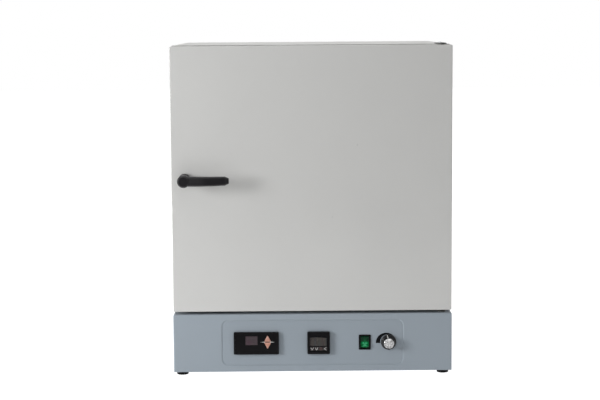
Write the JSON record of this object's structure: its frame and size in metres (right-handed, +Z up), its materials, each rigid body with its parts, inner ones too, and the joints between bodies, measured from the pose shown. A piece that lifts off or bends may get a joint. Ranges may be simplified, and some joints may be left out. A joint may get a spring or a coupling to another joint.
{
  "type": "drying oven",
  "caption": "Bench drying oven with a side-hinged door and lever latch on a control plinth with rubber feet.",
  "frame": {"origin": "middle of the whole footprint, on the surface that the feet stand on", "axes": "+X to the oven's right as seen from the front, +Y to its back, +Z up"},
  "size_m": [0.5936, 0.6429, 0.708],
  "materials": {
    "casing_paint": "satin",
    "plinth_paint": "satin",
    "overlay_film": "satin",
    "stainless": "satin",
    "rod_steel": "polished",
    "zinc_steel": "satin",
    "bracket_black": "satin",
    "heater_steel": "matte",
    "mineral_wool": "matte",
    "silicone": "matte",
    "black_plastic": "satin",
    "motor_enamel": "satin",
    "display_window": "gloss",
    "smoked_window": "gloss",
    "orange_key": "matte",
    "grey_key": "satin",
    "green_rocker": "gloss",
    "knob_aluminium": "satin",
    "foot_rubber": "matte",
    "brass": "satin",
    "nylon": "matte"
  },
  "bodies": {
    "cabinet": {"outer_casing": "casing_paint", "casing_floor": "zinc_steel", "front_frame": "stainless", "inner_rear_panel": "zinc_steel", "rear_cover": "casing_paint", "panel_screws": "zinc_steel", "chamber_liner": "stainless", "chamber_insulation": "mineral_wool", "chamber_gasket": "silicone", "shelf_rack_left": "rod_steel", "shelf_rack_right": "rod_steel", "rear_baffle": "stainless", "baffle_standoffs": "zinc_steel", "heater_element": "heater_steel", "temperature_probe": "zinc_steel", "fan_motor": "motor_enamel", "vent_duct": "zinc_steel", "vent_cap": "zinc_steel", "plinth_shell": "plinth_paint", "plinth_floor": "plinth_paint", "feet": "foot_rubber", "foot_screws": "zinc_steel", "control_overlay": "overlay_film", "controller_housing": "black_plastic", "controller_window": "display_window", "timer_housing": "black_plastic", "timer_window": "smoked_window", "switch_housing": "black_plastic", "speed_potentiometer": "motor_enamel", "solid_state_relay": "knob_aluminium", "terminal_block": "nylon", "mains_inlet": "black_plastic", "inlet_pins": "brass", "fuse_holder": "black_plastic", "hinge_bracket_upper": "bracket_black", "hinge_bracket_lower": "bracket_black", "keeper_plate": "zinc_steel"},
    "door": {"door_skin": "casing_paint", "door_inner_panel": "stainless", "door_insulation": "mineral_wool", "hinge_bushes": "nylon", "spindle_sleeve": "black_plastic"},
    "handle": {"handle_spindle": "zinc_steel", "handle_lever": "black_plastic", "latch_tongue": "zinc_steel"},
    "low_shelf": {"shelf_lower": "rod_steel"},
    "high_shelf": {"shelf_upper": "rod_steel"},
    "fan": {"fan_shaft": "zinc_steel", "fan_wheel": "zinc_steel"},
    "vent": {"vent_rosette": "zinc_steel"},
    "up_key": {"controller_key_up": "orange_key"},
    "down_key": {"controller_key_down": "orange_key"},
    "rocker": {"switch_rocker": "green_rocker"},
    "knob": {"potentiometer_shaft": "zinc_steel", "knob_skirt": "black_plastic", "knob_cap": "knob_aluminium"},
    "time_key_1": {"timer_key_1": "grey_key"},
    "time_key_2": {"timer_key_2": "grey_key"},
    "time_key_3": {"timer_key_3": "grey_key"},
    "time_key_4": {"timer_key_4": "grey_key"}
  },
  "joints": [
    {"name": "door_hinge", "type": "hinge", "parent": "cabinet", "child": "door", "pos_m": [0.276, -0.2544, 0.421], "axis": [0, 0, 1], "range_deg": [0, 170]},
    {"name": "handle_turn", "type": "hinge", "parent": "door", "child": "handle", "pos_m": [-0.2678, -0.2744, 0.4225], "axis": [0, 1, 0], "range_deg": [0, 90]},
    {"name": "low_shelf_slide", "type": "slide", "parent": "cabinet", "child": "low_shelf", "axis": [0, -1, 0], "range_m": [0, 0.035]},
    {"name": "high_shelf_slide", "type": "slide", "parent": "cabinet", "child": "high_shelf", "axis": [0, -1, 0], "range_m": [0, 0.035]},
    {"name": "fan_spin", "type": "hinge", "parent": "cabinet", "child": "fan", "pos_m": [0, 0.1418, 0.41855], "axis": [0, 1, 0], "continuous": true},
    {"name": "vent_turn", "type": "hinge", "parent": "cabinet", "child": "vent", "pos_m": [-0.151, 0.3134, 0.5631], "axis": [0, 1, 0], "range_deg": [0, 45]},
    {"name": "up_key_press", "type": "slide", "parent": "cabinet", "child": "up_key", "axis": [0, 1, 0], "range_m": [0, 0.0008], "stiffness_N_per_m": 500, "springref_m": -0.0005},
    {"name": "down_key_press", "type": "slide", "parent": "cabinet", "child": "down_key", "axis": [0, 1, 0], "range_m": [0, 0.0008], "stiffness_N_per_m": 500, "springref_m": -0.0005},
    {"name": "time_key_1_press", "type": "slide", "parent": "cabinet", "child": "time_key_1", "axis": [0, 1, 0], "range_m": [0, 0.0008], "stiffness_N_per_m": 500, "springref_m": -0.0005},
    {"name": "time_key_2_press", "type": "slide", "parent": "cabinet", "child": "time_key_2", "axis": [0, 1, 0], "range_m": [0, 0.0008], "stiffness_N_per_m": 500, "springref_m": -0.0005},
    {"name": "time_key_3_press", "type": "slide", "parent": "cabinet", "child": "time_key_3", "axis": [0, 1, 0], "range_m": [0, 0.0008], "stiffness_N_per_m": 500, "springref_m": -0.0005},
    {"name": "time_key_4_press", "type": "slide", "parent": "cabinet", "child": "time_key_4", "axis": [0, 1, 0], "range_m": [0, 0.0008], "stiffness_N_per_m": 500, "springref_m": -0.0005},
    {"name": "rocker_tilt", "type": "hinge", "parent": "cabinet", "child": "rocker", "pos_m": [0.1109, -0.2692, 0.072], "axis": [1, 0, 0], "range_deg": [0, 24]},
    {"name": "knob_turn", "type": "hinge", "parent": "cabinet", "child": "knob", "pos_m": [0.1617, -0.2744, 0.072], "axis": [0, 1, 0], "range_deg": [-135, 165]}
  ]
}
